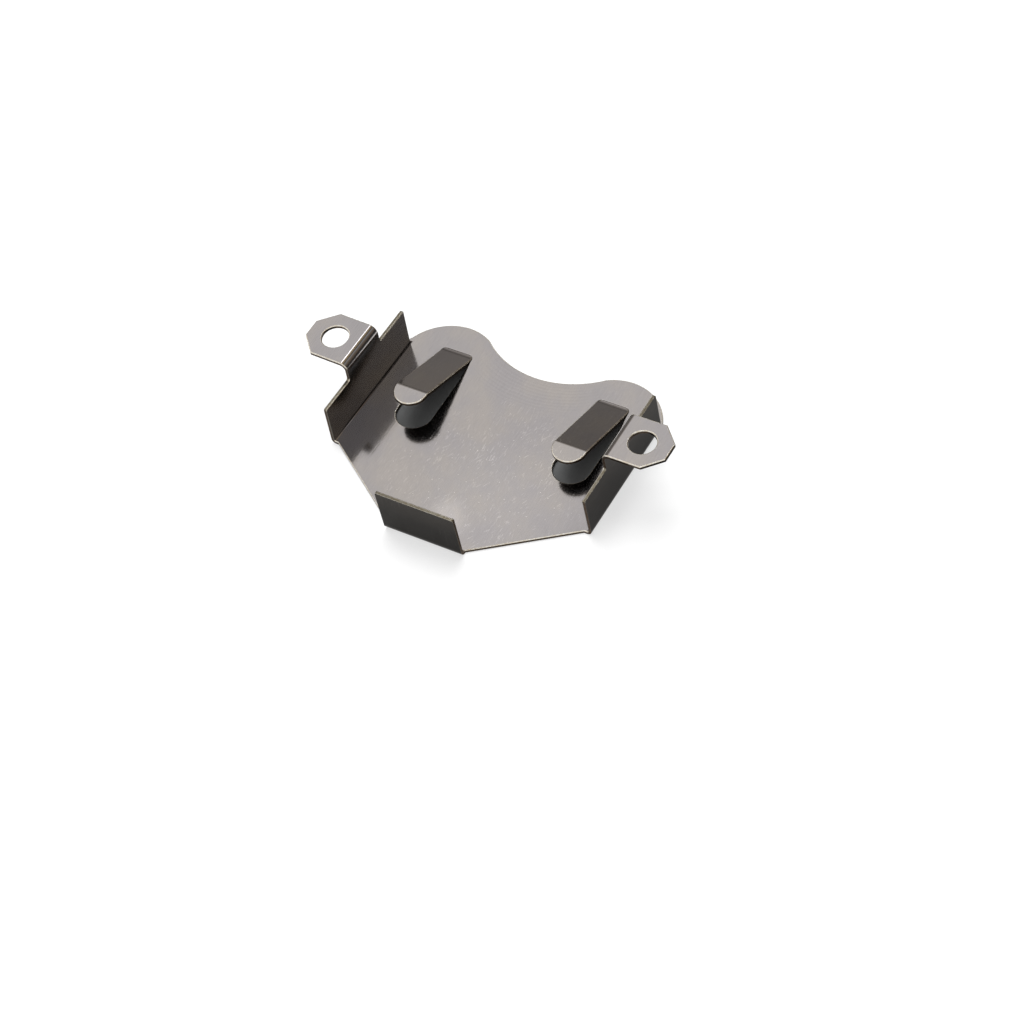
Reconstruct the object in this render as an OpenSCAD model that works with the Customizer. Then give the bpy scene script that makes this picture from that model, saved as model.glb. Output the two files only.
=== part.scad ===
// Coin cell holder: one blank of thin spring sheet, punched, lanced and folded.
// It lies on its plate. The two lugs are the feet that fasten it to a board, and the cell
// sits between the plate and the board, pressed off the plate by two spring fingers.
// X runs across the two lugs, Y from the front stop to the scooped back edge, Z up.
// The origin is the centre of the footprint, on the underside of the plate.

/* [Sheet] */
// thickness of the spring sheet
sheet_t = 0.25; // [0.2:0.01:0.3]
// inside radius of the folds between the plate and its walls
fold_r = 0.1; // [0.08:0.02:0.2]

/* [Coin cell] */
// diameter of the coin cell that slides between the side walls
cell_d = 20; // [19.5:0.1:22]
// clearance between the cell and each side wall
cell_gap = 0.1; // [0.05:0.05:0.3]
// clearance between the cell and the front stop
stop_gap = 0; // [0:0.05:0.3]

/* [Front stop] */
// width of the front stop wall
stop_w = 6.2; // [5:0.1:7]
// height of the front stop wall above the underside of the plate
stop_h = 3.9; // [3:0.1:4.5]

/* [Side walls] */
// distance from the cell's centre forward to the front end of each side wall
wall_front = 5.2; // [4.5:0.1:5.8]
// distance from the cell's centre back to the back end of each side wall
wall_back = 4.75; // [4.25:0.05:5]
// height of each side wall above the underside of the plate
wall_h = 3.65; // [3:0.05:4]

/* [Back edge] */
// radius of each round lobe
lobe_r = 3.85; // [3.5:0.05:4]
// how far each lobe reaches past the outer face of its side wall
lobe_out = 0.15; // [0.06:0.01:0.2]
// radius of the scoop between the lobes
scoop_r = 7.35; // [6.5:0.05:8]
// depth of the scoop's bite into each lobe
scoop_bite = 0.04; // [0.03:0.01:0.1]
// width of the relief slit between each side wall and its lobe
relief_w = 0.12; // [0.1:0.01:0.2]

/* [Lugs] */
// height of the top of each lug above the underside of the plate
lug_h = 5.2; // [4.9:0.05:6]
// distance from the outer face of the side wall to the end of the lug
lug_len = 4; // [3.8:0.05:5]
// width of each lug
lug_w = 3.9; // [3.6:0.1:4.4]
// distance of the lug's centre line in front of the cell's centre
lug_y = 0.25; // [0:0.05:0.8]
// size of the two cut corners of each lug
lug_cut = 1.25; // [0.8:0.05:1.4]
// inside radius of the fold between the side wall and the lug
lug_r = 0.45; // [0.3:0.05:0.6]
// radius of the corner between the side wall's top and the neck of the lug
neck_r = 0.2; // [0.1:0.05:0.3]
// diameter of the screw hole
hole_d = 1.95; // [1.6:0.05:2.2]
// distance from the outer face of the side wall to the centre of the hole
hole_x = 1.9; // [1.8:0.05:2.2]

/* [Spring fingers] */
// width of each finger
finger_w = 2.55; // [2:0.05:3]
// distance of each finger's centre line from the middle of the holder
finger_x = 6.35; // [5.8:0.05:7]
// distance from the cell's centre back to the root of each finger
finger_root = 5.35; // [5:0.05:5.6]
// length of the sloping part of each finger
finger_run = 5.65; // [5:0.05:6]
// slope of each finger
finger_a = 20.5; // [15:0.5:24]
// inside radius of the bend at the root and at the tip of each finger
finger_r = 0.5; // [0.3:0.1:0.8]
// clearance between each finger and its slot
slot_gap = 0.1; // [0.06:0.02:0.16]

/* [Hidden] */
$fn = 96;

fold_out = fold_r + sheet_t;               // outside radius of the plate's folds
wall_x = cell_d / 2 + cell_gap + sheet_t;  // outer face of a side wall
fold_x = wall_x - fold_out;                // where the plate turns up into a side wall
stop_y = cell_d / 2 + stop_gap + sheet_t;  // outer face of the front stop
fold_y = stop_y - fold_out;                // where the plate turns up into the front stop

lobe_x = wall_x + lobe_out - lobe_r;
lobe_y = wall_back - sqrt(pow(lobe_r, 2) - pow(wall_x - lobe_x, 2));
lobe_scoop = lobe_r + scoop_r - scoop_bite; // between the centres of a lobe and the scoop
scoop_y = lobe_y + sqrt(pow(lobe_scoop, 2) - pow(lobe_x, 2));
// where the scoop's circle meets the lobe's, as a share of the way between their centres
meet = (pow(lobe_scoop, 2) + pow(lobe_r, 2) - pow(scoop_r, 2)) / (2 * pow(lobe_scoop, 2));
back_y = lobe_y + lobe_r;

// height of the neck's straight part, where the lug's fold begins
neck_top = lug_h - sheet_t - lug_r;
lug_bend = lug_r + sheet_t;

// the finger seen from the side, from its root at [0, 0] on the plate's underside, forward along +X
bend_mid = finger_r + sheet_t / 2;
bend_arc = bend_mid * finger_a * PI / 180;
slope_x = (finger_r + sheet_t) * sin(finger_a);
// flat blank of the finger up to the centre of its round end, which the slot follows
blank_len = 2 * bend_arc + finger_run;
tip_x = 2 * bend_mid * sin(finger_a) + finger_run * cos(finger_a);
tip_z = 2 * bend_mid * (1 - cos(finger_a)) + finger_run * sin(finger_a);

// short lap by which flat stretches run into the bends
lap = 0.01;

// the cell's centre lies this far behind the middle of the footprint
cell_y = (stop_y - back_y) / 2;

// band of sheet bent round the origin, from angle a0 to angle a1
module band(r, a0, a1) {
    reach = 2 * (r + sheet_t);
    intersection() {
        difference() {
            circle(r + sheet_t);
            circle(r);
        }
        polygon([[0, 0], [reach * cos(a0), reach * sin(a0)], [reach * cos(a1), reach * sin(a1)]]);
    }
}

// quarter turn of sheet from the plate, at [0, 0], up into a wall along +X
module fold() {
    translate([-sheet_t, 0])
        square([sheet_t + lap, sheet_t]);
    translate([0, fold_out])
        intersection() {
            difference() {
                circle(fold_out);
                circle(fold_r);
            }
            translate([0, -fold_out])
                square(fold_out);
        }
}

// stands an XY outline up in the XZ plane and draws it along Y, from y0 to y1
module along_y(y0, y1) {
    translate([0, y1, 0])
        rotate([90, 0, 0])
            linear_extrude(y1 - y0)
                children();
}

// flat outline of the plate between its folds
module plate_outline() {
    difference() {
        union() {
            polygon([
                [-stop_w / 2, -fold_y], [stop_w / 2, -fold_y],
                [fold_x, -wall_front], [fold_x, lobe_y],
                [-fold_x, lobe_y], [-fold_x, -wall_front]
            ]);
            translate([-lobe_x, lobe_y - sheet_t])
                square([2 * lobe_x, sheet_t + meet * (scoop_y - lobe_y)]);
            for (s = [-1, 1])
                translate([s * lobe_x, lobe_y])
                    circle(lobe_r);
        }
        translate([0, scoop_y])
            circle(scoop_r);
        // the lobes stay inside the folds until they are past the side walls
        for (s = [-1, 1])
            translate([s * (fold_x + 1) - 1, wall_back + relief_w - 2 * lobe_r])
                square([2, 2 * lobe_r]);
    }
}

// outline of a finger, or of its slot when grown by a gap, from the root forward to the round end
module finger_outline(len, gap) {
    translate([0, -len])
        circle(finger_w / 2 + gap);
    translate([-finger_w / 2 - gap, -len])
        square([finger_w + 2 * gap, len]);
}

// side view of a finger: bend up at the root, slope, bend back to level at the tip
module finger_side() {
    translate([0, sheet_t + finger_r])
        band(finger_r, -90, finger_a - 90);
    translate([slope_x, (finger_r + sheet_t) * (1 - cos(finger_a))])
        rotate(finger_a)
            translate([-lap, 0])
                square([finger_run + 2 * lap, sheet_t]);
    translate([tip_x, tip_z - finger_r])
        band(finger_r, 90, 90 + finger_a);
    translate([tip_x - lap, tip_z])
        square([finger_w / 2 + lap, sheet_t]);
    translate([-sheet_t, 0])
        square([sheet_t + lap, sheet_t]);
}

module finger() {
    intersection() {
        translate([-finger_w / 2, 0, 0])
            rotate([90, 0, -90])
                mirror([0, 0, 1])
                    linear_extrude(finger_w)
                        finger_side();
        translate([0, sheet_t, -1])
            linear_extrude(tip_z + 3)
                finger_outline(tip_x + sheet_t, 0);
    }
}

module front_stop() {
    translate([-stop_w / 2, -fold_y, 0])
        rotate([90, 0, 90])
            mirror([1, 0, 0])
                linear_extrude(stop_w) {
                    fold();
                    translate([fold_r, fold_out - lap])
                        square([sheet_t, stop_h - fold_out + lap]);
                }
}

// flat of a side wall and the neck of its lug, Y along +X and Z along +Y
module wall_outline() {
    translate([-wall_front, fold_out - lap])
        square([wall_front + wall_back, wall_h - fold_out + lap]);
    translate([-lug_y - lug_w / 2, fold_out])
        square([lug_w, neck_top - fold_out + lap]);
    for (s = [0, 1])
        translate([-lug_y, wall_h])
            mirror([s, 0])
                difference() {
                    translate([lug_w / 2 - neck_r, -neck_r])
                        square(2 * neck_r);
                    translate([lug_w / 2 + neck_r, neck_r])
                        circle(neck_r);
                }
}

// side wall with its lug, on the +X side
module side_wall() {
    translate([fold_x, 0, 0])
        along_y(-wall_front, wall_back)
            fold();
    translate([wall_x - sheet_t, 0, 0])
        rotate([90, 0, 90])
            linear_extrude(sheet_t)
                wall_outline();
    translate([wall_x + lug_r, 0, neck_top])
        along_y(-lug_y - lug_w / 2, -lug_y + lug_w / 2)
            intersection() {
                difference() {
                    circle(lug_bend);
                    circle(lug_r);
                }
                translate([-lug_bend, 0])
                    square(lug_bend);
            }
    translate([wall_x, -lug_y, lug_h - sheet_t])
        linear_extrude(sheet_t)
            difference() {
                polygon([
                    [lug_r - lap, -lug_w / 2], [lug_len - lug_cut, -lug_w / 2],
                    [lug_len, lug_cut - lug_w / 2], [lug_len, lug_w / 2 - lug_cut],
                    [lug_len - lug_cut, lug_w / 2], [lug_r - lap, lug_w / 2]
                ]);
                translate([hole_x, 0])
                    circle(hole_d / 2);
            }
}

module retainer() {
    color("silver")
        translate([0, cell_y, 0]) {
            difference() {
                linear_extrude(sheet_t)
                    plate_outline();
                for (s = [-1, 1])
                    translate([s * finger_x, finger_root, -1])
                        linear_extrude(sheet_t + 2)
                            finger_outline(blank_len, slot_gap);
            }
            front_stop();
            side_wall();
            mirror([1, 0, 0])
                side_wall();
            for (s = [-1, 1])
                translate([s * finger_x, finger_root, 0])
                    finger();
        }
}

retainer();
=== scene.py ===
from math import asin, atan2, cos, pi, radians, sin, sqrt, tan

import bmesh
import bpy
from bpy.props import FloatProperty, FloatVectorProperty, PointerProperty
from mathutils import Matrix, Vector
from mathutils.geometry import delaunay_2d_cdt


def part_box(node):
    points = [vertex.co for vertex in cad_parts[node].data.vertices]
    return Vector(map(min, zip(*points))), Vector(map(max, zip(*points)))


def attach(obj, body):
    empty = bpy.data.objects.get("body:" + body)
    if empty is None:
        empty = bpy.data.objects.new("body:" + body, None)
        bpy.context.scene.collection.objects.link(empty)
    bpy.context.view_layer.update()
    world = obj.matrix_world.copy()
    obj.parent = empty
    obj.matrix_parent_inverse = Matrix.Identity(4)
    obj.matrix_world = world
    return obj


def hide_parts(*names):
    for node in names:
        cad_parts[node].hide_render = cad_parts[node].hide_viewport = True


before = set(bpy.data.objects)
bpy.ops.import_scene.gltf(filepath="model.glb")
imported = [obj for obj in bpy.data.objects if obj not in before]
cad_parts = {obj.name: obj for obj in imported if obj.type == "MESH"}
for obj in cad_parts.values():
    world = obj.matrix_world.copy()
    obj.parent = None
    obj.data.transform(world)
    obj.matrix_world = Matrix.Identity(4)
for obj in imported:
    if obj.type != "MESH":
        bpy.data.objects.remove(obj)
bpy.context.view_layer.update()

bl_info = {
    "name": "Coin cell holder",
    "version": (1, 0, 0),
    "blender": (4, 5, 0),
    "location": "3D View > Sidebar > Cell holder",
    "description": "Folds a coin cell holder from its flat blank and sets it in a studio",
    "category": "Add Mesh",
}

MM = 0.001
LOW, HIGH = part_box("retainer")

# the sheet's finishes, in the order of its material slots
BRIGHT, SHADED_BACK, CUT, ROLLED = range(4)


def size(name, default, about):
    """A length of the holder, in metres."""
    return FloatProperty(name=name, description=about, default=default, min=0,
                         precision=5, unit="LENGTH", subtype="DISTANCE")


def angle(name, default, about):
    """An angle, with its default in degrees."""
    return FloatProperty(name=name, description=about, default=radians(default),
                         unit="ROTATION", subtype="ANGLE")


def tone(name, default, about):
    """A colour, in linear light."""
    return FloatVectorProperty(name=name, description=about, default=default, size=3,
                               min=0, max=1, subtype="COLOR")


class HolderSheet(bpy.types.PropertyGroup):
    thickness: size("Thickness", 0.25 * MM, "Thickness of the spring sheet")
    fold_r: size("Fold radius", 0.17 * MM, "Inside radius of the folds along the plate")
    edge_roll: size("Edge roll", 0.075 * MM, "Rounding left by the punch along the upper edges")
    top_r: size("Top corner", 0.12 * MM, "Radius of the top corners of the walls and the stop")
    wall_x: size("Wall distance", 10.35 * MM, "Middle of the holder to a side wall's outer face")
    wall_front: size("Wall front", 3.843 * MM, "Middle of the holder to the walls' front ends")
    wall_back: size("Wall back", 6.107 * MM, "Middle of the holder back to the walls' back ends")
    wall_h: size("Wall height", 3.65 * MM, "Height of the side walls")
    stop_w: size("Stop width", 6.2 * MM, "Width of the front stop")
    stop_h: size("Stop height", 3.9 * MM, "Height of the front stop")
    left_fold_r: size("Left fold radius", 0.1 * MM, "Inside radius of the left wall's fold")
    left_lean: angle("Left wall lean", 2.6, "How far the left wall leans over the plate")
    left_skew: angle("Left wall skew", 1.6, "How far the left wall's fold runs in at the back")
    left_out: size("Left wall offset", 0.11 * MM, "How far out the left wall's fold lies")
    corner: size("Front corner", 0.2 * MM, "Straight bit of the plate's edge beside each wall")


class HolderBackEdge(bpy.types.PropertyGroup):
    lobe_r: size("Lobe radius", 3.85 * MM, "Radius of the two round lobes")
    lobe_x: size("Lobe distance", 6.65 * MM, "Middle of the holder to a lobe's centre")
    scoop_r: size("Scoop radius", 7.35 * MM, "Radius of the scoop between the lobes")
    scoop_bite: size("Scoop bite", 0.04 * MM, "Depth of the scoop's bite into each lobe")
    relief: size("Relief slit", 0.12 * MM, "Width of the slit between a side wall and its lobe")


class HolderLugs(bpy.types.PropertyGroup):
    middle: size("Middle", 1.107 * MM, "How far back the lugs' centre line lies")
    width: size("Width", 3.9 * MM, "Width of a lug")
    cut: size("Cut corner", 1.25 * MM, "Size of the two cut corners of a lug")
    corner_r: size("Corner radius", 0.1 * MM, "Rounding of a lug's corners")
    bend_r: size("Bend radius", 0.38 * MM, "Inside radius of the bend below a lug")
    neck_r: size("Neck corner", 0.2 * MM, "Radius between the wall's top and the neck")
    hole_d: size("Hole", 1.95 * MM, "Diameter of the screw hole")
    hole_x: size("Hole distance", 12.25 * MM, "Middle of the holder to a hole's centre")


class HolderFingers(bpy.types.PropertyGroup):
    width: size("Width", 2.55 * MM, "Width of a spring finger")
    middle: size("Distance", 6.35 * MM, "Middle of the holder to a finger's centre line")
    root: size("Root", 6.707 * MM, "How far back the fingers' roots lie")
    run: size("Run", 5.65 * MM, "Length of a finger's sloping part")
    left_slope: angle("Left slope", 22.0, "Slope of the left finger")
    right_slope: angle("Right slope", 19.2, "Slope of the right finger")
    root_r: size("Root bend", 1.2 * MM, "Inside radius of the bend at a finger's root")
    corner: size("Root corner", 0.42 * MM, "Radius of the cut's corners at a finger's root")
    bend_r: size("Tip bend", 0.5 * MM, "Inside radius of the bend at a finger's tip")
    gap: size("Slot gap", 0.1 * MM, "Gap between a finger and its slot")
    root_gap: size("Root gap", 0.025 * MM, "Gap beside a finger's root, where it was lanced")
    lanced: size("Lanced length", 2.2 * MM, "How far from the root the slot gets its full width")
    slot_slope: angle("Slot slope", 20.5, "Slope of the fingers that the slots are cut for")


class HolderFinish(bpy.types.PropertyGroup):
    face: tone("Bright face", (0.425, 0.4, 0.392), "Colour of the sheet's bright inner face")
    # painted shade: the walls' outer faces get a near-black colour that stands for their dark
    # reflection and shade
    back: tone("Painted dark back", (0.033, 0.031, 0.029), "Colour of the walls' dull outer faces")
    under: tone("Underside", (0.2, 0.19, 0.182), "Colour of the plate's underside")
    # painted shade and light: the punched edges are dark where they face sideways or down and
    # lighter where they face up
    edge: tone("Cut edge", (0.08, 0.062, 0.048), "Colour of the bare punched edges")
    painted_lit_edge: tone("Painted lit edge", (0.25, 0.23, 0.185), "Colour of the punched edges that face up")
    # painted highlight: the rolled edges show this bright colour only where they face up
    roll: tone("Rolled edge", (0.78, 0.74, 0.67), "Colour of the edges rolled by the punch")
    floor: tone("Floor", (0.93, 0.93, 0.93), "Colour of the studio floor")
    # painted shade: a dark pad under the plate stands for the shade seen through the slots
    pad: tone("Shade pad", (0.118, 0.12, 0.12), "Colour of the pad under the plate")
    card: tone("Cards", (0.27, 0.255, 0.24), "Plain tone of the dark cards behind the holder")


class HolderView(bpy.types.PropertyGroup):
    azimuth: angle("Azimuth", 41.079, "Way round the holder, from its front")
    elevation: angle("Elevation", 50.863, "Height of the camera above the horizon")
    tilt: angle("Tilt", 14.237, "Turn of the camera about its line of sight")
    distance: size("Distance", 208.76 * MM, "Camera to the point it looks at")
    lens: FloatProperty(name="Lens", description="Focal length in millimetres", default=106.09)
    aim: FloatVectorProperty(name="Aim", description="Point that the camera looks at", size=3,
                             default=(2.455 * MM, -2.110 * MM, -3.440 * MM), subtype="XYZ",
                             unit="LENGTH")


# ---------------------------------------------------------------- folding the sheet


class Flat:
    """A flat stretch of sheet: a corner on its back face, its axes, and its place in the blank."""

    def __init__(self, origin, across, along, blank, blank_across, blank_along):
        self.origin, self.across, self.along = map(Vector, (origin, across, along))
        self.normal = self.across.cross(self.along)
        self.blank, self.blank_across, self.blank_along = map(
            Vector, (blank, blank_across, blank_along))

    def at(self, u, v):
        """The place on the back face, the normal and the place in the blank."""
        return (self.origin + u * self.across + v * self.along, self.normal,
                self.blank + u * self.blank_across + v * self.blank_along)

    def moved(self, v):
        origin, _, blank = self.at(0, v)
        return Flat(origin, self.across, self.along, blank, self.blank_across, self.blank_along)

    def turned(self, radius, turn, thickness):
        """The same flat after a bend. A turn above 0 bends it towards its bright face."""
        way = 1 if turn > 0 else -1
        rho = radius + thickness if turn > 0 else radius
        centre = self.origin + way * rho * self.normal
        normal = cos(turn) * self.normal - sin(turn) * self.along
        along = cos(turn) * self.along + sin(turn) * self.normal
        length = (radius + thickness / 2) * abs(turn)
        return Flat(centre - way * rho * normal, self.across, along,
                    self.blank + length * self.blank_along, self.blank_across, self.blank_along)


class Blank:
    """Sheet kept as pairs of points, one on each face, so that it has its thickness everywhere."""

    GRID = 1e7  # steps to a metre: points that round to the same step are one
    UNDER_ROLL = 0.12  # share of the edge roll along the lower edges
    SHARPEST = radians(32)  # turns of the cut edge below this one are shaded smooth

    def __init__(self, thickness):
        self.thickness = thickness
        self.pairs, self.places, self.loops = {}, [], []

    def pair(self, place):
        back, normal, flat = place
        key = tuple(round(c * self.GRID) for c in back)
        if key not in self.pairs:
            self.pairs[key] = len(self.places)
            self.places.append((back.copy(), back + self.thickness * normal))
        return self.pairs[key], tuple(flat)

    def loop(self, places, smooth):
        self.loops.append(([self.pair(p) for p in places], smooth))

    def sheet(self, flat, outline, holes=()):
        """Fills an outline, given as (u, v) points on a flat, but not its holes."""
        points, edges = [], []
        for ring in (outline, *holes):
            first = len(points)
            points += [Vector(p) for p in ring]
            edges += [(first + i, first + (i + 1) % len(ring)) for i in range(len(ring))]
        made, _, faces, *_ = delaunay_2d_cdt(points, edges, [], 1, 1e-9)
        for f in faces:
            mid = sum((made[i] for i in f), Vector((0, 0))) / len(f)
            if not any(inside(mid, hole) for hole in holes):
                self.loop([flat.at(*made[i]) for i in f], False)

    def strip(self, stations, columns, smooth):
        """Quads between flats that follow each other."""
        for a, b in zip(stations, stations[1:]):
            for u, w in zip(columns, columns[1:]):
                self.loop([a.at(u, 0), a.at(w, 0), b.at(w, 0), b.at(u, 0)], smooth)

    def stations(self, flat, radius, turn, steps):
        """The flat at each step round a bend."""
        return [flat] + [flat.turned(radius, turn * i / steps, self.thickness)
                         for i in range(1, steps + 1)]

    def bend(self, flat, radius, turn, columns, steps=18):
        """Bends the sheet on from a flat, and gives the flat that follows."""
        stations = self.stations(flat, radius, turn, steps)
        self.strip(stations, columns, True)
        return stations[-1]

    def mesh(self, name, crisp):
        """Both faces and the cut edge between them. Upper edges are marked for the wider roll,
        but not in the crisp places, given as (x, y, half width, half length, top)."""
        count = len(self.places)
        me = bpy.data.meshes.new(name)
        bm = bmesh.new()
        layer = bm.loops.layers.uv.new("blank")
        weight = bm.edges.layers.float.new("bevel_weight_edge")
        verts = [bm.verts.new(p[side]) for side in (0, 1) for p in self.places]
        open_edges = {}

        def add(numbers, flats, material, smooth):
            face = bm.faces.new([verts[n] for n in numbers])
            face.material_index, face.smooth = material, smooth
            for corner, uv in zip(face.loops, flats):
                corner[layer].uv = Vector(uv) / MM

        for corners, smooth in self.loops:
            numbers, flats = [c[0] for c in corners], [c[1] for c in corners]
            add([n + count for n in numbers], flats, BRIGHT, smooth)
            add(numbers[::-1], flats[::-1], SHADED_BACK, smooth)
            for i in range(len(corners)):
                a, b = corners[i - 1], corners[i]
                if (b[0], a[0]) in open_edges:
                    del open_edges[b[0], a[0]]
                else:
                    open_edges[a[0], b[0]] = (a[1], b[1])
        for (a, b), (flat_a, flat_b) in open_edges.items():
            # across the cut the blank's place goes on outward, so its marks don't smear
            way = (Vector(flat_b) - Vector(flat_a)).normalized()
            out = Vector((way.y, -way.x)) * self.thickness
            low = [tuple(Vector(f) + out) for f in (flat_a, flat_b)]
            add([a, b, b + count, a + count], [*low, flat_b, flat_a], CUT, True)
        bm.normal_update()
        for edge in bm.edges:
            kinds = sorted(f.material_index for f in edge.link_faces)
            if kinds == [BRIGHT, CUT]:
                middle = (edge.verts[0].co + edge.verts[1].co) / 2
                edge[weight] = 0.0 if any(
                    abs(middle.x - x) < half_x and abs(middle.y - y) < half_y and middle.z < top
                    for x, y, half_x, half_y, top in crisp) else 1.0
            elif kinds == [SHADED_BACK, CUT]:
                edge[weight] = self.UNDER_ROLL
            elif kinds == [CUT, CUT]:
                edge.smooth = edge.calc_face_angle(0) < self.SHARPEST
        bm.to_mesh(me)
        bm.free()
        return me


def inside(point, ring):
    """Whether a point is inside a closed ring, by the edges to its right."""
    hit = False
    for (ax, ay), (bx, by) in zip(ring, ring[1:] + ring[:1]):
        if (ay > point.y) != (by > point.y) and \
                point.x < ax + (point.y - ay) * (bx - ax) / (by - ay):
            hit = not hit
    return hit


def arc(centre, radius, start, end, steps):
    """Points from one angle to another round a centre."""
    return [(centre[0] + radius * cos(start + (end - start) * i / steps),
             centre[1] + radius * sin(start + (end - start) * i / steps))
            for i in range(steps + 1)]


def rounded(corners, steps=5):
    """An outline from (u, v, radius) corners: those with a radius become small arcs."""
    ring = []
    for i, (x, y, radius) in enumerate(corners):
        if not radius:
            ring.append((x, y))
            continue
        here = Vector((x, y))
        before = (Vector(corners[i - 1][:2]) - here).normalized()
        after = (Vector(corners[(i + 1) % len(corners)][:2]) - here).normalized()
        half = before.angle(after) / 2
        reach = radius / tan(half)
        centre = here + (before + after).normalized() * (radius / sin(half))
        start, end = here + before * reach - centre, here + after * reach - centre
        a0 = atan2(start.y, start.x)
        turn = (atan2(end.y, end.x) - a0 + pi) % (2 * pi) - pi
        ring += arc(centre, radius, a0, a0 + turn, steps)
    return ring


def back_edge(s, back):
    """Where the centres of the lobes and of the scoop lie, and how far apart they are."""
    lobe_y = s.wall_back - sqrt(back.lobe_r ** 2 - (s.wall_x - back.lobe_x) ** 2)
    reach = back.lobe_r + back.scoop_r - back.scoop_bite
    return lobe_y, lobe_y + sqrt(reach ** 2 - back.lobe_x ** 2), reach


def lobe_and_scoop(s, back, step):
    """The right lobe's arc, from the relief slit on, and the scoop's arc after it."""
    lobe_y, scoop_y, reach = back_edge(s, back)
    along = (reach ** 2 + back.lobe_r ** 2 - back.scoop_r ** 2) / (2 * reach)
    chord = sqrt(back.lobe_r ** 2 - along ** 2)
    to_scoop = Vector((-back.lobe_x, scoop_y - lobe_y)) / reach
    meet = Vector((back.lobe_x, lobe_y)) + along * to_scoop + chord * Vector(
        (to_scoop.y, -to_scoop.x))
    first = asin((step - lobe_y) / back.lobe_r)
    last = atan2(meet.y - lobe_y, meet.x - back.lobe_x)
    scoop = atan2(meet.y - scoop_y, meet.x)
    return (arc((back.lobe_x, lobe_y), back.lobe_r, first, last, 40),
            arc((0, scoop_y), back.scoop_r, scoop, -pi - scoop, 44)[1:-1])


def slot(s, f, x):
    """The hole round a finger: it closes up at the root, where the finger was lanced."""
    half = f.width / 2
    wide = half + f.gap
    length = 2 * (f.bend_r + s.thickness / 2) * f.slot_slope + f.run
    end = arc((x, f.root - length), wide, 0, -pi, 28)
    # the corner grows round the finger's own, by the gap beside the root
    corner = [(half - f.corner + (f.corner + f.root_gap) * sin(i * pi / 12),
               f.root - f.corner + f.corner * cos(i * pi / 12)) for i in range(7)]
    lanced = f.root - f.lanced
    return [(x + u, v) for u, v in corner] + [(x + wide, lanced)] + end \
        + [(x - wide, lanced)] + [(x - u, v) for u, v in corner[::-1]]


def plate(blank, s, back, fingers):
    """The flat plate with its round lobes, its scoop and the two slots."""
    stop, stop_fold = s.stop_w / 2, LOW.y + s.fold_r + s.thickness
    front, rear, step = -s.wall_front, s.wall_back, s.wall_back + back.relief

    def beside_wall(side, y):
        x, skew, _ = fold_line(s, side)
        return x + y * tan(skew), y

    lobe, scoop = lobe_and_scoop(s, back, step)
    outline = [(-stop, stop_fold), (stop, stop_fold),
               (beside_wall(1, front)[0] - s.corner, front),
               *(beside_wall(1, y) for y in (front, rear, step)), *lobe, *scoop]
    outline += [(-x, y) for x, y in reversed(lobe)]
    outline += [*(beside_wall(-1, y) for y in (step, rear, front)),
                (beside_wall(-1, front)[0] + s.corner, front)]
    holes = [slot(s, fingers, side * fingers.middle) for side in (-1, 1)]
    blank.sheet(Flat((0, 0, 0), (1, 0, 0), (0, 1, 0), (0, 0), (1, 0), (0, 1)), outline, holes)


def front_stop(blank, s):
    """The short wall folded up from the plate's front edge."""
    fold = s.fold_r + s.thickness
    half = s.stop_w / 2
    y = LOW.y + fold
    flat = Flat((0, y, 0), (-1, 0, 0), (0, -1, 0), (0, y), (-1, 0), (0, -1))
    up = blank.bend(flat, s.fold_r, pi / 2, [-half, half])
    top = s.stop_h - fold
    blank.sheet(up, rounded([(-half, 0, 0), (half, 0, 0),
                             (half, top, s.top_r), (-half, top, s.top_r)]))


def fold_line(s, side):
    """Where the plate's flat ends beside a wall: its place, its skew and the fold's radius."""
    if side > 0:
        return s.wall_x - s.fold_r - s.thickness, 0.0, s.fold_r
    return -(s.wall_x - s.left_fold_r - s.thickness + s.left_out), s.left_skew, s.left_fold_r


def side_wall(blank, s, lug, side, lean):
    """A side wall with the neck, the bend and the lug on top of it."""
    turn = pi / 2 + lean
    fold_x, skew, fold_r = fold_line(s, side)
    across = -side
    along_fold = (across * sin(skew), across * cos(skew))
    outward = (side * cos(skew), -side * sin(skew))
    base = Flat((fold_x, 0, 0), (*along_fold, 0), (*outward, 0), (fold_x, 0), along_fold, outward)
    front, rear = sorted((across * -s.wall_front / cos(skew), across * s.wall_back / cos(skew)))
    up = blank.bend(base, fold_r, turn, [front, rear])
    top = (s.wall_h - up.origin.z) / cos(lean)
    neck = HIGH.z - s.thickness - lug.bend_r * (1 + sin(lean))
    neck_v = (neck - up.origin.z) / cos(lean)
    mid, half, r = across * lug.middle, lug.width / 2, lug.neck_r
    blank.sheet(up, rounded([
        (front, 0, 0), (rear, 0, 0), (rear, top, s.top_r), (mid + half, top, r),
        (mid + half, neck_v, 0), (mid - half, neck_v, 0), (mid - half, top, r),
        (front, top, s.top_r)]))
    bent = blank.bend(up.moved(neck_v), lug.bend_r, -turn, [mid - half, mid + half], 24)
    length = side * (HIGH.x if side > 0 else LOW.x) - side * bent.origin.x
    if skew:
        length -= 0.02 * MM  # one corner of a skewed lug reaches further out than its middle
    cut, r = lug.cut, lug.corner_r
    ring = rounded([(mid - half, 0, 0), (mid + half, 0, 0), (mid + half, length - cut, r),
                    (mid + half - cut, length, r), (mid - half + cut, length, r),
                    (mid - half, length - cut, r)])
    hole = arc((mid, lug.hole_x - side * bent.origin.x), lug.hole_d / 2, 0, 2 * pi, 56)[:-1]
    blank.sheet(bent, ring, [hole])


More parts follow.
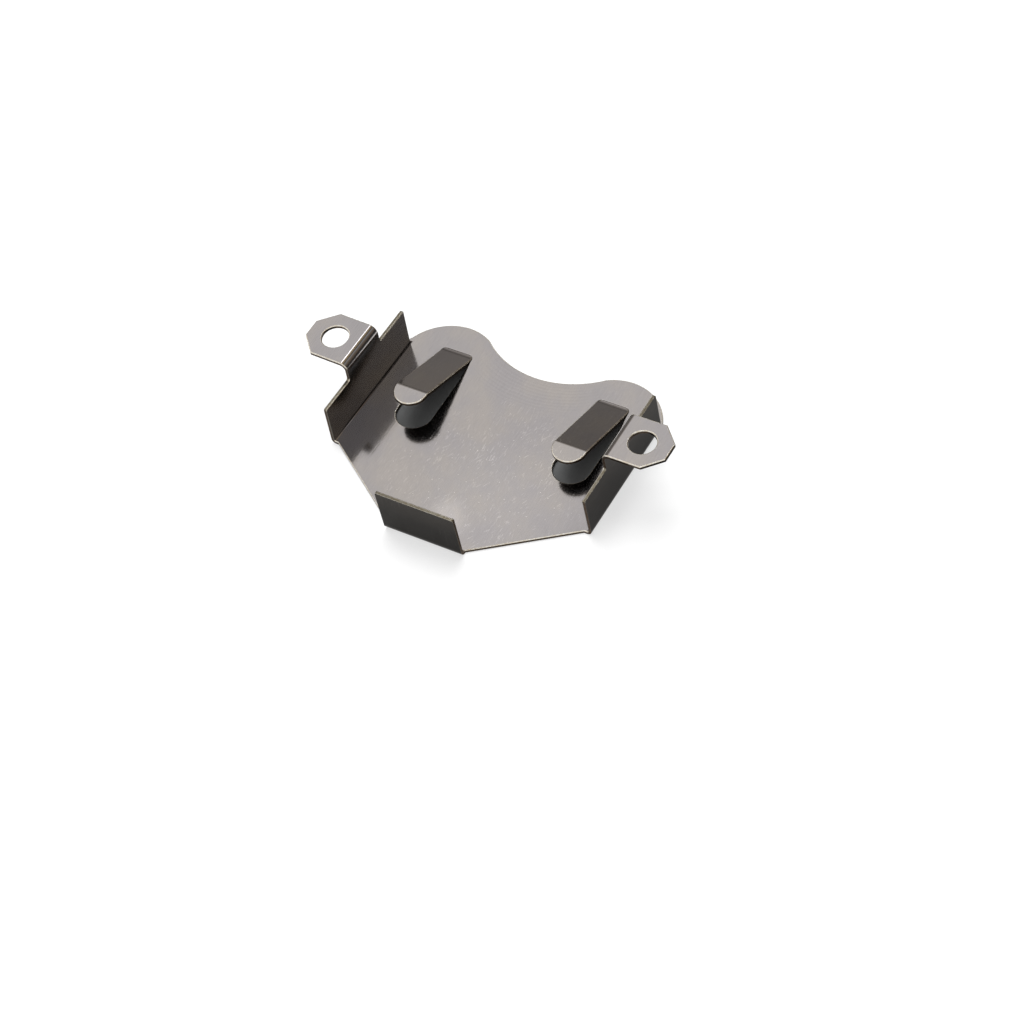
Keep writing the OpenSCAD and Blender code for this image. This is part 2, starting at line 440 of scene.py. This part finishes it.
def finger(blank, f, side, slope):
    """A spring finger: bent up at its root, and back to level at its round tip."""
    half = f.width / 2
    x = side * f.middle
    root = Flat((x, f.root, 0), (-1, 0, 0), (0, -1, 0), (x, f.root), (-1, 0), (0, -1))
    edge = [-half, half]

    def half_at(flat):
        """Half the width of the root bend, narrower between the cut's round corners."""
        into = max(f.corner - (f.root - flat.blank.y), 0)
        return half - f.corner + sqrt(f.corner ** 2 - into ** 2)

    stations = blank.stations(root, f.root_r, slope, 16)
    for a, b in zip(stations, stations[1:]):
        near, far = half_at(a), half_at(b)
        blank.loop([a.at(-near, 0), a.at(near, 0), b.at(far, 0), b.at(-far, 0)], True)
    up = stations[-1]
    # a wider root bend leaves a shorter slope, so that the tip stays where it was
    run = f.run - (f.root_r - f.bend_r) * tan(slope / 2)
    end = up.moved(run)
    blank.strip([up, end], edge, False)
    tip = blank.bend(end, f.bend_r, -slope, edge, 10)
    blank.sheet(tip, arc((0, 0), half, pi, 0, 32)[::-1])


def crisp_places(s, fingers):
    """Boxes round the lanced roots and the relief slits, where no edge is rolled."""
    half = fingers.width / 2 + fingers.gap + 0.02 * MM
    places = []
    for side in (-1, 1):
        places.append((side * fingers.middle, fingers.root - 1.1 * MM, half, 1.2 * MM,
                       1.01 * s.thickness))
        places.append((side * (s.wall_x - 0.4 * MM), s.wall_back + 0.1 * MM, 0.5 * MM, 0.4 * MM,
                       2 * s.thickness))
    return places


# ---------------------------------------------------------------- finishes


class Value:
    """A shader socket that can be reckoned with."""

    def __init__(self, finish, socket):
        self.finish, self.socket = finish, socket

    def math(self, operation, *values):
        return self.finish.node("ShaderNodeMath", {"operation": operation},
                                dict(enumerate(values)))

    def __add__(self, other):
        return self.math("ADD", self, other)

    __radd__ = __add__

    def __sub__(self, other):
        return self.math("SUBTRACT", self, other)

    def __rsub__(self, other):
        return self.math("SUBTRACT", other, self)

    def __mul__(self, other):
        return self.math("MULTIPLY", self, other)

    __rmul__ = __mul__

    def __lt__(self, other):
        return self.math("LESS_THAN", self, other)

    def __abs__(self):
        return self.math("ABSOLUTE", self)


class Finish:
    """A material and its nodes."""

    def __init__(self, name, tree=None):
        if tree is None:
            self.material = bpy.data.materials.new(name)
            self.material.use_nodes = True
            tree = self.material.node_tree
        self.tree = tree
        self.tree.nodes.clear()

    def node(self, kind, settings=None, inputs=None, output=0):
        """Adds a node: its settings first, then the values or links of its sockets."""
        node = self.tree.nodes.new(kind)
        for name, value in (settings or {}).items():
            if name == "stops":
                ramp = node.color_ramp
                while len(ramp.elements) < len(value):
                    ramp.elements.new(0.5)
                for stop, (place, colour) in zip(ramp.elements, value):
                    stop.position, stop.color = place, (*colour, 1)
            else:
                setattr(node, name, value)
        for name, value in (inputs or {}).items():
            if isinstance(value, Value):
                self.tree.links.new(value.socket, node.inputs[name])
            else:
                node.inputs[name].default_value = value
        return Value(self, node.outputs[output]) if node.outputs else None

    def place(self, sx, sy, turn=0.0, shift=(0, 0)):
        """The blank's own place in millimetres, turned and stretched."""
        uv = self.node("ShaderNodeUVMap", {"uv_map": "blank"})
        return self.node("ShaderNodeMapping", {"vector_type": "TEXTURE"}, {
            "Vector": uv, "Location": (*shift, 0), "Rotation": (0, 0, turn),
            "Scale": (1 / sx, 1 / sy, 1)})

    def noise(self, place, detail=2.0, rough=0.5, scale=1.0):
        return self.node("ShaderNodeTexNoise", {"noise_dimensions": "2D"}, {
            "Vector": place, "Scale": scale, "Detail": detail, "Roughness": rough})

    def axis(self, vector, name):
        return self.node("ShaderNodeSeparateXYZ", None, {"Vector": vector}, name)

    def away(self, x, y):
        """Distance over the blank from a place on it, all in millimetres."""
        return self.node("ShaderNodeVectorMath", {"operation": "DISTANCE"},
                         {0: self.place(1, 1), 1: (x, y, 0)}, 1)

    def facing_up(self, low, high, bottom=0.0):
        """How far the surface faces up, from bottom to 1."""
        normal = self.node("ShaderNodeNewGeometry", None, None, "Normal")
        return self.step(self.axis(normal, "Z"), low, high, bottom)

    def step(self, value, low, high, bottom=0.0, top=1.0):
        """A soft step from bottom to top, between two values."""
        return self.node("ShaderNodeMapRange", {"interpolation_type": "SMOOTHSTEP"}, {
            "Value": value, "From Min": low, "From Max": high, "To Min": bottom, "To Max": top})

    def mix(self, factor, a, b):
        return self.node("ShaderNodeMix", {"data_type": "RGBA"}, {0: factor, 6: a, 7: b}, 2)

    def metal(self, colour, roughness, height, reach, rim=1.0):
        """Bare metal with a relief, reach deep, and with the tone of its mirror at the rim."""
        bump = self.node("ShaderNodeBump", None, {
            "Strength": 1.0, "Distance": reach, "Height": height})
        shader = self.node("ShaderNodeBsdfPrincipled", None, {
            "Base Color": colour, "Metallic": 1.0, "Roughness": roughness, "Normal": bump,
            "Specular Tint": (rim, rim, rim, 1)})
        self.node("ShaderNodeOutputMaterial", None, {"Surface": shader})
        return self.material


def patch(f, x, y, radius, soft):
    """1 inside a soft round patch of the blank, with its centre in millimetres."""
    return f.step(f.away(x, y), radius - soft, radius + soft, 1.0, 0.0)


def scratches(f, sx, sy, turn, shift, low, high):
    """Short fine lines, which come and go in patches."""
    lines = f.step(f.noise(f.place(sx, sy, turn, shift), 1.0), low, high)
    patches = f.step(f.noise(f.place(0.45, 0.3, 0, shift), 2.0), 0.42, 0.6)
    return lines * patches


def specks(f, per_mm, radius, share, shift):
    """Small pits and grains of dust, in some cells of a scattered grid."""
    place = f.place(per_mm, per_mm, 0.4, shift)
    settings = {"voronoi_dimensions": "2D", "feature": "F1"}
    inputs = {"Vector": place, "Scale": 1.0, "Randomness": 1.0}
    distance = f.node("ShaderNodeTexVoronoi", settings, inputs, "Distance")
    cell = f.node("ShaderNodeTexVoronoi", settings, inputs, "Color")
    red = f.node("ShaderNodeSeparateColor", None, {"Color": cell}, "Red")
    return f.step(distance, radius * 1.6, radius * 0.5) * (red < share)


def shaded(f, colour, shade):
    """A colour made lighter or darker by a value."""
    return f.node("ShaderNodeVectorMath", {"operation": "SCALE"}, {0: colour, "Scale": shade})


def tinted(colour, *parts):
    """A plain colour with its red, green and blue scaled."""
    return (*[c * k for c, k in zip(colour, parts)], 1)


def ripples(f, scoop_y, scoop_r):
    """Ripples that the stretched metal shows along the scoop."""
    away = f.away(0, scoop_y) - scoop_r
    drift = f.noise(f.place(0.5, 0.5), 1.0)
    wave = f.node("ShaderNodeMath", {"operation": "SINE"}, {0: 22.5 * away + 3.0 * drift})
    return wave * f.step(away, 2.0, 3.4, 1.0, 0.0) * f.step(away, 0.1, 0.6) \
        * patch(f, 0.5, 5.5, 4.2, 1.8)


def bright_face(colour, scoop, painted_root_line):
    """Plated inner face: rolled grain along the depth, specks, scratches and soft stains, with a
    painted sheen near the front stop and a painted highlight along each finger's root.
    Scoop is its centre and radius, and the painted root line is a finger's place, root and half
    width, in mm."""
    f = Finish("bright_face")
    grain = f.noise(f.place(16, 0.9), 3.0, 0.6)
    stains = f.noise(f.place(0.22, 0.16, 0.5), 4.0, 0.6)
    streaks = f.noise(f.place(4.5, 0.45), 2.0, 0.5)
    peel = f.noise(f.place(1.3, 0.9), 2.0, 0.5)
    worn = patch(f, 1.2, -3.2, 6.6, 2.4)
    lines = (scratches(f, 8.5, 1.5, 0.06, (3, 1), 0.64, 0.72)
             + scratches(f, 7.5, 1.4, -0.5, (9, 4), 0.66, 0.74)) * (0.15 + 0.85 * worn) \
        + 0.5 * scratches(f, 9.0, 1.6, 0.5, (4, 8), 0.68, 0.76) * worn
    dots = specks(f, 1.7, 0.05, 0.3, (2, 7)) * (0.05 + 0.95 * worn)
    pits = specks(f, 0.3, 0.018, 0.2, (5, 3)) * patch(f, 0, -1, 8, 1)
    ripple = ripples(f, *scoop)
    # painted sheen: two lighter patches near the front stop stand for a bright reflection there
    sheen = patch(f, 0.3, -6.1, 0.9, 0.8) + 0.7 * patch(f, 1.2, -7.0, 0.8, 0.8)
    # the plate is lighter towards its front right
    lighter_front_right = patch(f, 3, -5, 4.5, 3.5)
    shade = 0.935 + 0.1 * lighter_front_right + 0.17 * (grain - 0.5) + 0.24 * (stains - 0.5) \
        + 0.2 * lines + 0.65 * dots - 0.5 * pits + 0.02 * ripple \
        + 0.2 * sheen * (0.6 + 0.8 * grain)
    # painted highlight: a bright line across the root where each finger leaves the plate
    finger_x, root_y, half = painted_root_line
    place = f.place(1, 1)
    x = abs(f.axis(place, "X"))
    along = f.step(abs(x - finger_x), half, half + 0.08, 1.0, 0.0)
    shade += 0.75 * along * f.step(abs(f.axis(place, "Y") - root_y), 0.02, 0.07, 1.0, 0.0)
    tint = f.mix(f.step(stains, 0.35, 0.7), tinted(colour, 1.0, 1.0, 1.02),
                 tinted(colour, 1.02, 1.0, 0.96))
    rough = 0.085 + 0.05 * stains + 0.04 * grain + 0.1 * lines + 0.2 * dots
    # the walls, beyond the folds, kept the flatness of the rolled strip
    height = f.step(x, 10.1, 10.5, 1.0, 0.2) * (
        0.8 * streaks + 0.7 * peel + 0.25 * lines - 0.5 * dots + 0.2 * ripple)
    return f.metal(shaded(f, tint, shade), rough, height, 0.002 * MM)


def painted_dark_back(colour, under):
    """Outer face: rougher than the inner one, painted near-black on the walls as their dark
    reflection and shade, with a lighter tone under the plate.
    """
    f = Finish("painted_dark_back")
    grain = f.noise(f.place(14, 0.8), 3.0, 0.6)
    stains = f.noise(f.place(0.3, 0.3, 0.2), 4.0, 0.6)
    lines = scratches(f, 7.0, 0.6, 0.04, (1, 6), 0.68, 0.74)
    place = f.node("ShaderNodeTexCoord", None, None, "Object")
    height = f.axis(place, "Z") * (1 / MM)
    # painted shade: the near-black colour from just above the floor up the walls, the underside's
    # own tone below
    on_painted_walls = f.step(height, 0.1, 0.6)
    # painted shade: the walls' colour is darker at their foot and up to half again lighter at
    # their top
    upper = f.step(height, 1.6, 3.9)
    dark = f.mix(upper, (*colour, 1), tinted(colour, 1.5, 1.46, 1.42))
    shade = 1 + 0.25 * (grain - 0.5) + 0.6 * (stains - 0.5) + 0.4 * lines
    base = shaded(f, f.mix(on_painted_walls, (*under, 1), dark), shade)
    rough = 0.24 + 0.1 * stains + 0.08 * grain
    return f.metal(base, rough, 0.4 * grain + 0.8 * stains, 0.002 * MM, 0.62)


def cut_edge(colour, painted_lit_edge):
    """Punched edge: torn and streaked by the punch, painted dark as its dark reflection where it
    faces sideways or down, and painted light where it faces up.
    """
    f = Finish("cut_edge")
    draw = f.noise(f.place(9, 9, 0.7), 3.0, 0.6)
    tear = f.noise(f.place(4, 4, 0.2), 3.0, 0.7)
    torn = f.step(tear, 0.4, 0.65)
    light = f.mix(torn, tinted(painted_lit_edge, 0.75, 0.7, 0.62), (*painted_lit_edge, 1))
    dark = f.mix(torn, tinted(colour, 0.7, 0.62, 0.55), (*colour, 1))
    # painted light and shade: the edge's colour goes from dark to light as it turns to face up
    base = shaded(f, f.mix(f.facing_up(0.3, 0.8), dark, light), 0.8 + 0.4 * draw)
    return f.metal(base, 0.24 + 0.15 * tear, 0.5 * draw + tear, 0.004 * MM, 0.6)


def rolled_edge(colour):
    """Corners of the cut, rolled smooth and nicked; painted bright as a highlight where they face
    up, and dark where they don't.
    """
    f = Finish("rolled_edge")
    nicks = f.noise(f.place(5, 5, 0.3), 3.0, 0.7)
    grain = f.noise(f.place(12, 2), 2.0)
    tint = f.mix(f.step(nicks, 0.38, 0.6), tinted(colour, 0.82, 0.76, 0.67), (*colour, 1))
    # painted highlight: the colour is scaled down to 0.14 of itself where the roll doesn't face up
    base = shaded(f, tint, (0.85 + 0.3 * grain) * f.facing_up(0.1, 0.45, 0.14))
    return f.metal(base, 0.16 + 0.14 * nicks, nicks + 0.4 * grain, 0.003 * MM)


def seen_rays(f):
    """1 for the rays that show the background: to the camera, off metal and through glass."""
    return sum((f.node("ShaderNodeLightPath", None, None, kind)
                for kind in ("Is Camera Ray", "Is Glossy Ray", "Is Transmission Ray")), 0.0)


def matt(name, colour, grain, even=0.0):
    """Paper or card with a little tooth. Where even is above 0 its shadows are lighter."""
    f = Finish(name)
    place = f.node("ShaderNodeTexCoord", None, None, "Object")
    tooth = f.node("ShaderNodeTexNoise", None, {"Vector": place, "Scale": grain, "Detail": 3.0})
    base = f.mix(tooth, tinted(colour, 0.985, 0.985, 0.985), (*colour, 1))
    shader = f.node("ShaderNodeBsdfPrincipled", None, {
        "Base Color": base, "Roughness": 0.9, "Specular IOR Level": 0.1})
    if even:
        white = f.node("ShaderNodeEmission", None, {"Color": (1, 1, 1, 1), "Strength": 1.0})
        shader = f.node("ShaderNodeMixShader", None, {0: even * seen_rays(f), 1: shader, 2: white})
    f.node("ShaderNodeOutputMaterial", None, {"Surface": shader})
    return f.material


# ---------------------------------------------------------------- operators


class HOLDER_OT_sheet(bpy.types.Operator):
    """Fold the holder from its blank and give its faces their finishes"""
    bl_idname = "holder.sheet"
    bl_label = "Folded sheet"

    def execute(self, context):
        scene = context.scene
        s, back, lugs = scene.holder_sheet, scene.holder_back_edge, scene.holder_lugs
        fingers, finish = scene.holder_fingers, scene.holder_finish
        blank = Blank(s.thickness)
        plate(blank, s, back, fingers)
        front_stop(blank, s)
        side_wall(blank, s, lugs, 1, 0)
        side_wall(blank, s, lugs, -1, s.left_lean)
        finger(blank, fingers, -1, fingers.left_slope)
        finger(blank, fingers, 1, fingers.right_slope)
        mesh = blank.mesh("folded_sheet", crisp_places(s, fingers))
        sheet = bpy.data.objects.new("folded_sheet", mesh)
        scene.collection.objects.link(sheet)
        _, scoop_y, _ = back_edge(s, back)
        # where the painted highlight along each finger's root lies, in millimetres
        painted_root_line = (fingers.middle / MM, fingers.root / MM - 0.03,
                 (fingers.width / 2 - 0.7 * fingers.corner) / MM)
        for material in (bright_face(finish.face, (scoop_y / MM, back.scoop_r / MM), painted_root_line),
                         painted_dark_back(finish.back, finish.under),
                         cut_edge(finish.edge, finish.painted_lit_edge), rolled_edge(finish.roll)):
            mesh.materials.append(material)
        roll = sheet.modifiers.new("edge roll", "BEVEL")
        roll.limit_method, roll.width, roll.segments = "WEIGHT", s.edge_roll, 3
        roll.use_clamp_overlap, roll.material = False, ROLLED
        roll.harden_normals = True
        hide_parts("retainer")
        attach(sheet, "root")
        return {"FINISHED"}


def card(name, azimuths, levels, stops, lying=False):
    """A card that only the metal mirrors, bent round the holder or lying on the floor.
    Its tone changes with its height in degrees, or with its distance in metres."""
    bm = bmesh.new()
    layer = bm.loops.layers.uv.new("card")
    across, up, standing_at, lift = 16, 12, 0.5, Vector((0, 0, 0.2 * MM if lying else 0))
    rows = []
    for j in range(up + 1):
        level = levels[0] + (levels[1] - levels[0]) * j / up
        height, distance = (0, level) if lying else (level, standing_at)
        rows.append([bm.verts.new(lift + towards(
            azimuths[0] + (azimuths[1] - azimuths[0]) * i / across, height, distance))
            for i in range(across + 1)])
    for j in range(up):
        for i in range(across):
            face = bm.faces.new((rows[j][i], rows[j][i + 1], rows[j + 1][i + 1], rows[j + 1][i]))
            for corner, (u, v) in zip(face.loops, ((0, 0), (1, 0), (1, 1), (0, 1))):
                corner[layer].uv = ((i + u) / across, (j + v) / up)
    me = bpy.data.meshes.new(name)
    bm.to_mesh(me)
    bm.free()
    ob = bpy.data.objects.new(name, me)
    bpy.context.scene.collection.objects.link(ob)
    f = Finish(name)
    uv = f.node("ShaderNodeUVMap", {"uv_map": "card"})
    low, high = levels
    ramp = f.node("ShaderNodeValToRGB", {"stops": [
        ((level - low) / (high - low), colour) for level, colour in stops]},
                  {"Fac": f.axis(uv, "Y")})
    glow = f.node("ShaderNodeEmission", None, {"Color": ramp, "Strength": 1.0})
    f.node("ShaderNodeOutputMaterial", None, {"Surface": glow})
    me.materials.append(f.material)
    ob.visible_camera = ob.visible_diffuse = ob.visible_shadow = False
    ob.visible_transmission = False
    return ob


def direction(azimuth, elevation):
    return Vector((sin(azimuth) * cos(elevation), -cos(azimuth) * cos(elevation),
                   sin(elevation)))


def towards(azimuth, elevation, distance):
    """A place round the holder, by degrees: azimuth 0 is its front, and 90 its right side."""
    return direction(radians(azimuth), radians(elevation)) * distance


def lamp(name, middle, width, height, power, seen, colour=(1, 1, 1)):
    """An area lamp that faces the holder, and that the metal mirrors if it is seen."""
    data = bpy.data.lights.new(name, "AREA")
    data.shape, data.size, data.size_y = "RECTANGLE", width, height
    data.energy, data.color = power, colour
    ob = bpy.data.objects.new(name, data)
    bpy.context.scene.collection.objects.link(ob)
    ob.location = middle
    ob.rotation_mode = "QUATERNION"
    ob.rotation_quaternion = Vector(middle).to_track_quat("Z", "Y")
    ob.visible_glossy = seen
    ob.visible_camera = False
    return ob


def lying_sheet(name, ring, material):
    """A flat outline that lies under the holder and belongs to the studio."""
    me = bpy.data.meshes.new(name)
    bm = bmesh.new()
    bm.faces.new([bm.verts.new(corner) for corner in ring])
    bm.to_mesh(me)
    bm.free()
    me.materials.append(material)
    ob = bpy.data.objects.new(name, me)
    bpy.context.scene.collection.objects.link(ob)


def floor_and_shade_pad(finish):
    """A wide pale floor, and a dark pad within the plate's outline: painted shade under the plate
    that shows in the slots.
    """
    radius, corners = 4, 64
    floor_z, shade_pad_z = -0.001 * MM, -0.0005 * MM
    lying_sheet("floor", [(cos(2 * pi * i / corners) * radius, sin(2 * pi * i / corners) * radius,
                           floor_z) for i in range(corners)],
                matt("floor", finish.floor, 900, 0.6))
    lying_sheet("pad", [(x * MM, y * MM, shade_pad_z) for x, y in (
        (-3, -8), (3, -8), (9, -3.6), (9, 6.7), (4.9, 6.7), (4.9, 6.4), (-4.9, 6.4),
        (-4.9, 6.7), (-9, 6.7), (-9, -3.6))],
                matt("pad", finish.pad, 2500))


def cards(tones):
    """The dark surroundings that the metal mirrors, by azimuth and height."""
    def part(share):
        return [share * c for c in tones]

    card("card_back", (168, 250), (0, 40), (
        (0, part(1)), (14, part(1)), (19, part(0.62)), (25, part(0.62)),
        (30, part(1.3)), (36, part(1.6)), (40, part(2))))
    card("card_right", (88, 190), (0, 66), (
        (0, part(0.15)), (14, part(0.25)), (24, (0.2, 0.155, 0.11)), (40, (0.3, 0.27, 0.23)),
        (45.5, (0.5, 0.52, 0.54)), (48.5, (0.5, 0.52, 0.54)), (51, (0.12, 0.112, 0.1)),
        (56, (0.2, 0.17, 0.13)), (60, (0.55, 0.44, 0.26)), (66, (0.7, 0.6, 0.4))))
    plain = (0.2, 0.18, 0.15)
    card("card_top", (176, 207), (66, 78), ((66, plain), (78, plain)))
    plain = (0.13, 0.125, 0.115)
    card("card_low", (60, 252), (0.0155, 0.5), ((0.0155, plain), (0.5, plain)), True)


def surroundings(scene):
    """A world that lights softly and shows as white."""
    world = bpy.data.worlds.new("studio")
    scene.world = world
    world.use_nodes = True
    w = Finish("studio", world.node_tree)
    soft = w.node("ShaderNodeBackground", None, {"Color": (1, 1, 1, 1), "Strength": 0.55})
    white = w.node("ShaderNodeBackground", None, {"Color": (1, 1, 1, 1), "Strength": 1.0})
    both = w.node("ShaderNodeMixShader", None, {0: seen_rays(w), 1: soft, 2: white})
    w.node("ShaderNodeOutputWorld", None, {"Surface": both})


def camera(scene, view):
    data = bpy.data.cameras.new("camera")
    data.sensor_width, data.lens = 36, view.lens
    data.clip_start, data.clip_end = 0.005, 20
    ob = bpy.data.objects.new("camera", data)
    scene.collection.objects.link(ob)
    scene.camera = ob
    away = direction(view.azimuth, view.elevation)
    right = Vector((cos(view.azimuth), sin(view.azimuth), 0))
    up = away.cross(right)
    tilt = view.tilt
    turn = Matrix((cos(tilt) * right - sin(tilt) * up, sin(tilt) * right + cos(tilt) * up, away))
    ob.matrix_world = Matrix.Translation(Vector(view.aim) + view.distance * away) \
        @ turn.transposed().to_4x4()


class HOLDER_OT_stage(bpy.types.Operator):
    """Set up the floor, the cards, the lamps and the camera"""
    bl_idname = "holder.stage"
    bl_label = "Studio"

    def execute(self, context):
        scene = context.scene
        floor_and_shade_pad(scene.holder_finish)
        cards(scene.holder_finish.card)
        surroundings(scene)
        lamp("softbox", towards(215, 62, 0.6), 0.5, 0.5, 4.6, False)
        lamp("strip", towards(199, 60, 0.42), 0.05, 0.1, 0.06, True, (0.93, 0.96, 1.0))
        camera(scene, scene.holder_view)
        scene.view_settings.view_transform = "Standard"
        return {"FINISHED"}


class HOLDER_PT_panel(bpy.types.Panel):
    """Lists the sizes and colours, and the operators that use them"""
    bl_label = "Coin cell holder"
    bl_idname = "HOLDER_PT_panel"
    bl_space_type = "VIEW_3D"
    bl_region_type = "UI"
    bl_category = "Cell holder"

    def draw(self, context):
        for name, kind in GROUPS.items():
            box = self.layout.box()
            box.label(text=kind.__name__.replace("Holder", ""))
            for prop in kind.__annotations__:
                box.prop(getattr(context.scene, name), prop)
        for operator in (HOLDER_OT_sheet, HOLDER_OT_stage):
            self.layout.operator(operator.bl_idname)


GROUPS = {
    "holder_sheet": HolderSheet,
    "holder_back_edge": HolderBackEdge,
    "holder_lugs": HolderLugs,
    "holder_fingers": HolderFingers,
    "holder_finish": HolderFinish,
    "holder_view": HolderView,
}
CLASSES = (*GROUPS.values(), HOLDER_OT_sheet, HOLDER_OT_stage, HOLDER_PT_panel)


def register():
    for cls in CLASSES:
        bpy.utils.register_class(cls)
    for name, kind in GROUPS.items():
        setattr(bpy.types.Scene, name, PointerProperty(type=kind))


def unregister():
    for name in GROUPS:
        delattr(bpy.types.Scene, name)
    for cls in reversed(CLASSES):
        bpy.utils.unregister_class(cls)


def main():
    register()
    bpy.ops.holder.sheet()
    bpy.ops.holder.stage()


if __name__ == "__main__":
    main()
